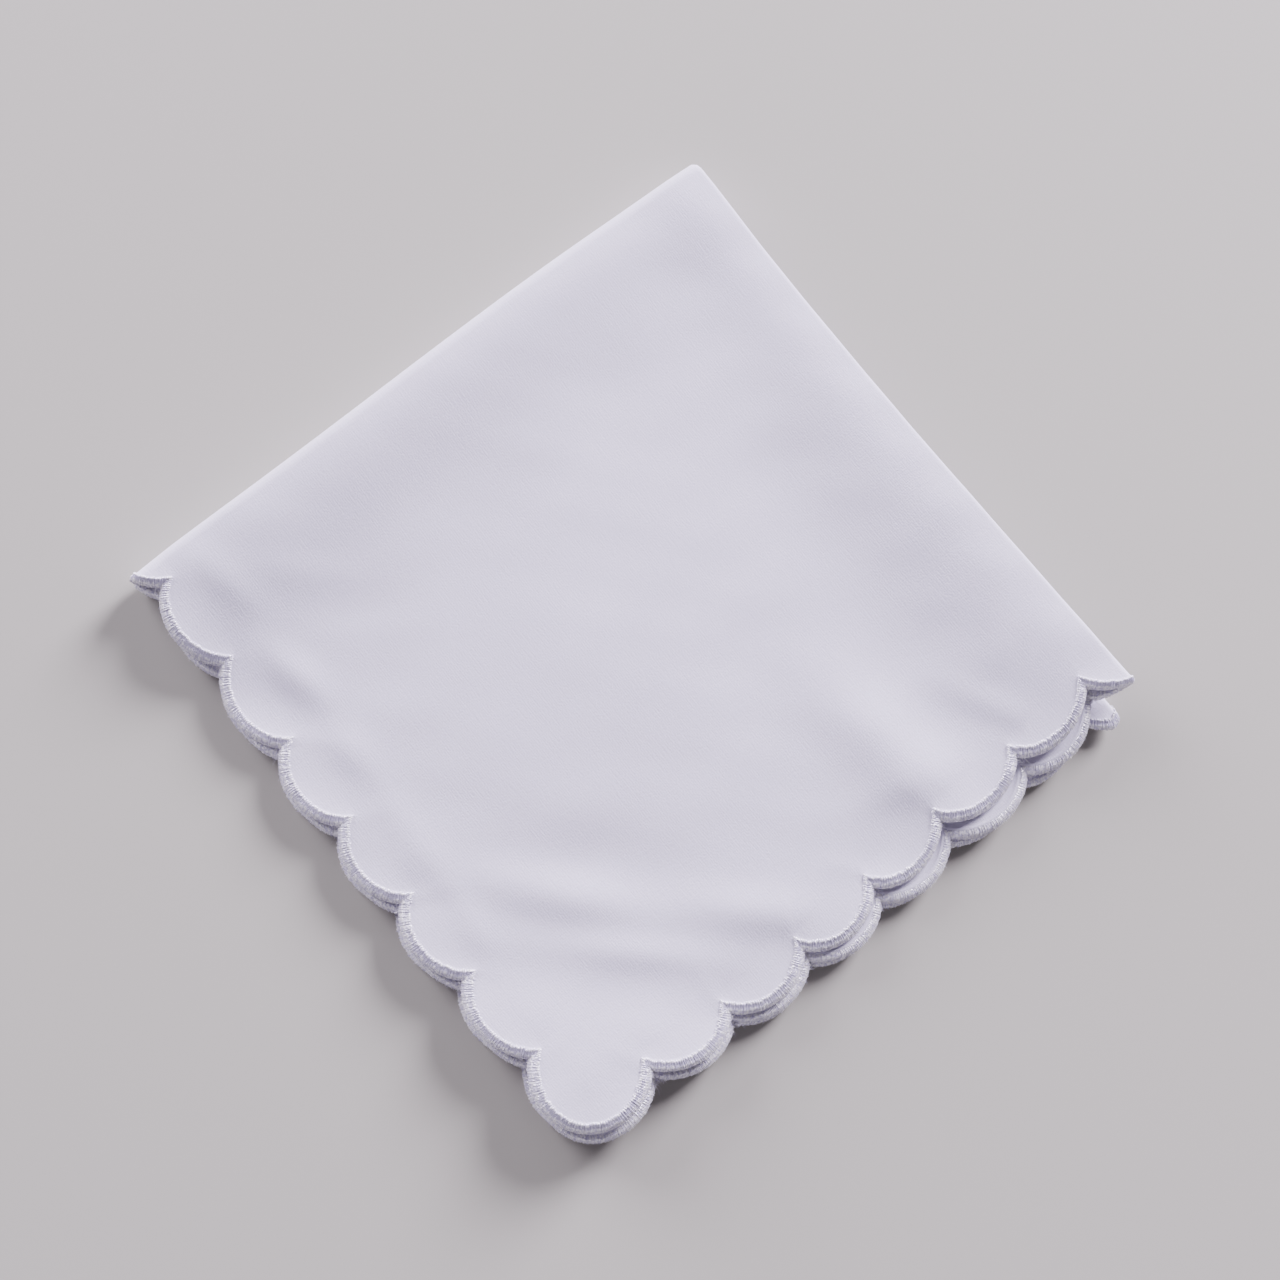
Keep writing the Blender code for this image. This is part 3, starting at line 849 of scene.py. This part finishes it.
def stray_ends(inner, outer, chance):
    """Corner points and faces of the loose ends that stick out at the outline."""
    along = np.minimum(np.abs(outer[:, 0]), np.abs(outer[:, 1])) / PITCH - 0.5
    at_cusp = np.abs(along - np.round(along)) * PITCH < CUSP_REACH
    kept = chance.uniform(0, 1, len(outer)) < np.where(at_cusp, CUSP_STRAY_SHARE, STRAY_SHARE)
    inner, outer, at_cusp = inner[kept], outer[kept], at_cusp[kept]
    count = len(outer)
    out = unit(outer - inner)
    across = square_to(out)
    length = np.where(at_cusp, chance.uniform(*CUSP_STRAY_LENGTHS, count),
                      chance.uniform(*STRAY_LENGTHS, count))[:, None]
    lean, curl = chance.uniform(-STRAY_LEAN, STRAY_LEAN, (2, count, 1))
    flat = np.stack([outer + length * (out * stop + across * (lean * stop + curl * stop ** 2))
                     for stop in STRAY_STOPS], axis=1)
    start = folded_points(outer[:, 0], outer[:, 1])
    moved = folded_points(flat[..., 0], flat[..., 1])
    middle = start[:, None, :] + (moved - moved[:, :1])
    middle[..., 2] += chance.uniform(*STRAY_RISE, (count, 1)) * length * STRAY_STOPS
    middle[..., 2] = np.maximum(middle[..., 2], STRAY_HALF_WIDTH)
    turn = 2 * math.pi * np.arange(STRAY_SIDES) / STRAY_SIDES
    taper = STRAY_HALF_WIDTH * (STRAY_TAPER - STRAY_STOPS)[None, :, None]
    ring = np.stack([np.cos(turn), np.sin(turn)], -1)
    across_place = unit(folded_points(outer[:, 0] + across[:, 0] * NORMAL_STEP,
                                      outer[:, 1] + across[:, 1] * NORMAL_STEP) - start)
    places = np.repeat(middle[:, :, None, :], STRAY_SIDES, axis=2)
    places += across_place[:, None, None, :] * (taper * ring[None, None, :, 0])[..., None]
    places[..., 2] += taper * ring[None, None, :, 1]
    return places.reshape(-1, 3), tube_faces(count, len(STRAY_STOPS), STRAY_SIDES, closed=False)


def satin_border(material):
    """The satin stitches, one piece for each layer of the folded cloth."""
    chance = np.random.default_rng(SEED)
    inner, outer = stitch_ends(chance)
    layers = stitch_layers(inner)
    pieces = []
    for layer, name in enumerate(LAYER_NAMES):
        here = layers == layer
        rim = 0 if layer == TOP_LEVEL else RIM_HEIGHT
        places, faces = thread_loops(inner[here], outer[here], rim, chance)
        strays, stray_faces = stray_ends(inner[here], outer[here], chance)
        faces = np.concatenate([faces, stray_faces + len(places)])
        places = np.concatenate([places, strays])
        piece = mesh_object("satin_stitches_" + name, places, faces, material)
        add_thread_map(piece.data, here.sum())
        pieces.append(piece)
    return pieces


class Nodes:
    """A short way to add and join shader nodes."""

    def __init__(self, material):
        material.use_nodes = True
        self.tree = material.node_tree
        self.shader = self.tree.nodes["Principled BSDF"]

    def add(self, kind, inputs=None, **settings):
        """A node with these settings; an input is a value or another node's output."""
        node = self.tree.nodes.new(kind)
        for key, value in settings.items():
            setattr(node, key, value)
        for key, value in (inputs or {}).items():
            self.join(value, node.inputs[key])
        return node

    def join(self, value, socket):
        """Gives a socket a value, or a link from another node's output."""
        if isinstance(value, bpy.types.NodeSocket):
            self.tree.links.new(value, socket)
        else:
            socket.default_value = value

    def calc(self, operation, *values):
        """The output of a math node."""
        node = self.add("ShaderNodeMath", dict(enumerate(values)), operation=operation)
        return node.outputs[0]

    def mix(self, factor, start, end):
        """The output of a mix of two colours."""
        inputs = {"Factor": factor, "A": (*start, 1), "B": (*end, 1)}
        return self.add("ShaderNodeMix", inputs, data_type="RGBA").outputs["Result"]

    def finish(self, colour, height, bump, gloss):
        """Gives the shader its colour, its bump, its plain values and light that comes through."""
        strength, distance = bump
        normal = self.add("ShaderNodeBump", {
            "Height": height, "Strength": strength, "Distance": distance}).outputs[0]
        self.join(colour, self.shader.inputs["Base Color"])
        self.join(normal, self.shader.inputs["Normal"])
        for name, value in gloss.items():
            self.shader.inputs[name].default_value = value
        self.shader.inputs["Subsurface Radius"].default_value = (1, 1, 1)
        self.shader.inputs["Subsurface Scale"].default_value = LIGHT_SPREAD


def cotton_material():
    """Fine plain-woven white cotton: crossing threads, uneven in thickness and tone."""
    material = bpy.data.materials.new("white_cotton")
    nodes = Nodes(material)
    flat = nodes.add("ShaderNodeUVMap", uv_map="flat").outputs["UV"]
    apart = nodes.add("ShaderNodeSeparateXYZ", {0: flat}).outputs
    waves = []
    for axis, other in (("X", "Y"), ("Y", "X")):
        stretched = nodes.add("ShaderNodeCombineXYZ", {
            "X": nodes.calc("MULTIPLY", apart[axis], THREADS_PER_SIDE),
            "Y": nodes.calc("MULTIPLY", apart[other], THREADS_PER_SIDE / SLUB_THREADS),
        }).outputs[0]
        slub = nodes.add("ShaderNodeTexNoise", {
            "Vector": stretched, "Scale": 1.0, "Detail": 1.0}).outputs["Fac"]
        phase = nodes.calc("MULTIPLY", apart[axis], 2 * math.pi * THREADS_PER_SIDE)
        wander = nodes.calc("MULTIPLY_ADD", slub, SLUB_WANDER, phase)
        waves.append((nodes.calc("SINE", wander), slub))
    (across, slub_a), (along, slub_b) = waves
    weft = nodes.calc("MULTIPLY", along, WEFT_SHARE)
    weave = nodes.calc("MULTIPLY_ADD", across, WARP_SHARE, weft)
    slubs = nodes.calc("ADD", slub_a, slub_b)
    grain = nodes.add("ShaderNodeTexNoise", {
        "Vector": flat, "Scale": THREADS_PER_SIDE, "Detail": 1.0}).outputs["Fac"]
    uneven = nodes.calc("MULTIPLY_ADD", slubs, SLUB_HEIGHT, grain)
    height = nodes.calc("MULTIPLY_ADD", weave, WEAVE_HEIGHT, uneven)
    mottle = nodes.add("ShaderNodeTexNoise", {
        "Vector": flat, "Scale": MOTTLE_SCALE, "Detail": 3.0, "Roughness": 0.6}).outputs["Fac"]
    spots = nodes.calc("MULTIPLY", mottle, MOTTLE_TONE)
    tone = nodes.calc("MULTIPLY_ADD", slubs, SLUB_TONE, spots)
    nodes.finish(nodes.mix(tone, COTTON_WHITE_SHADE, COTTON_WHITE), height, COTTON_BUMP, COTTON_GLOSS)
    return material


def thread_material():
    """Glossy white embroidery thread, speckled by its fibres and by painted glints, with painted shade
    in the border's channel.
    """
    material = bpy.data.materials.new("white_thread")
    nodes = Nodes(material)
    place = nodes.add("ShaderNodeTexCoord").outputs["Object"]
    # specks of the fibres' own tone and of painted glints
    fibre = nodes.add("ShaderNodeTexNoise", {
        "Vector": place, "Scale": FIBRE_SCALE, "Detail": 1.0}).outputs["Fac"]
    apart = nodes.add("ShaderNodeUVMap", uv_map="threads").outputs["UV"]
    across, along, _ = nodes.add("ShaderNodeSeparateXYZ", {0: apart}).outputs
    thread = nodes.add("ShaderNodeTexWhiteNoise", {"W": across}, noise_dimensions="1D").outputs["Value"]
    # painted shade: the thread's colour darkens along the channel between the padding's humps
    off = nodes.calc("ABSOLUTE", nodes.calc("SUBTRACT", along, CHANNEL_PLACE))
    slope = nodes.calc("MULTIPLY_ADD", off, -1 / CHANNEL_HALF_WIDTH, 1.0)
    channel = nodes.calc("MAXIMUM", slope, 0.0)
    own_tone = nodes.calc("MULTIPLY_ADD", thread, THREAD_TONE, TONE_OFFSET)
    tone = nodes.calc("MULTIPLY_ADD", fibre, FIBRE_TONE_AND_GLINTS, own_tone)
    shaded = nodes.calc("MULTIPLY_ADD", channel, -CHANNEL_PAINTED_SHADE, tone)
    nodes.finish(nodes.mix(shaded, THREAD_WHITE_SHADE, THREAD_WHITE), fibre, THREAD_BUMP, THREAD_GLOSS)
    return material


def plain_floor():
    """A pale floor, which is stage and no part of the object."""
    material = bpy.data.materials.new("pale_floor")
    nodes = Nodes(material)
    nodes.shader.inputs["Base Color"].default_value = (*FLOOR_COLOUR, 1)
    nodes.shader.inputs["Roughness"].default_value = FLOOR_ROUGHNESS
    half = FLOOR_HALF_SIDE
    corners = [(-half, -half, 0), (half, -half, 0), (half, half, 0), (-half, half, 0)]
    floor = mesh_object("floor", corners, [(0, 1, 2, 3)], material)


def soft_light(name, place, size, power):
    """An area light that faces the handkerchief."""
    data = bpy.data.lights.new(name, "AREA")
    data.shape = "DISK"
    data.size = size
    data.energy = power
    data.color = LIGHT_TINT
    light = bpy.data.objects.new(name, data)
    light.location = place
    light.rotation_euler = (-Vector(place)).to_track_quat("-Z", "Y").to_euler()
    bpy.context.scene.collection.objects.link(light)


def studio():
    """Soft lights from the far right and left, a low one from the front, and pale air."""
    for light in LIGHTS:
        soft_light(*light)
    world = bpy.data.worlds.new("pale_air")
    world.use_nodes = True
    air = world.node_tree.nodes["Background"].inputs
    air["Color"].default_value = (*AIR_TINT, 1)
    air["Strength"].default_value = AIR_STRENGTH
    bpy.context.scene.world = world


def photo_camera():
    """A camera that looks down on the handkerchief, almost from above."""
    data = bpy.data.cameras.new("camera")
    data.lens = CAMERA_LENS_MM
    data.sensor_width = SENSOR_MM
    camera = bpy.data.objects.new("camera", data)
    right = CAMERA_RIGHT.normalized()
    forward = (CAMERA_FORWARD - CAMERA_FORWARD.project(right)).normalized()
    up = right.cross(forward)
    turned = Matrix((right, up, -forward)).transposed()
    camera.matrix_world = Matrix.Translation(CAMERA_PLACE) @ turned.to_4x4()
    bpy.context.scene.collection.objects.link(camera)
    bpy.context.scene.camera = camera


def main():
    """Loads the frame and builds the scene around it."""
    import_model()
    photo_camera()
    studio()
    plain_floor()
    cloth = folded_cloth(cotton_material())
    stitches = satin_border(thread_material())
    for piece in [cloth, *stitches]:
        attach(piece, "root")
        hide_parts("cloth")
    flat_area()


main()
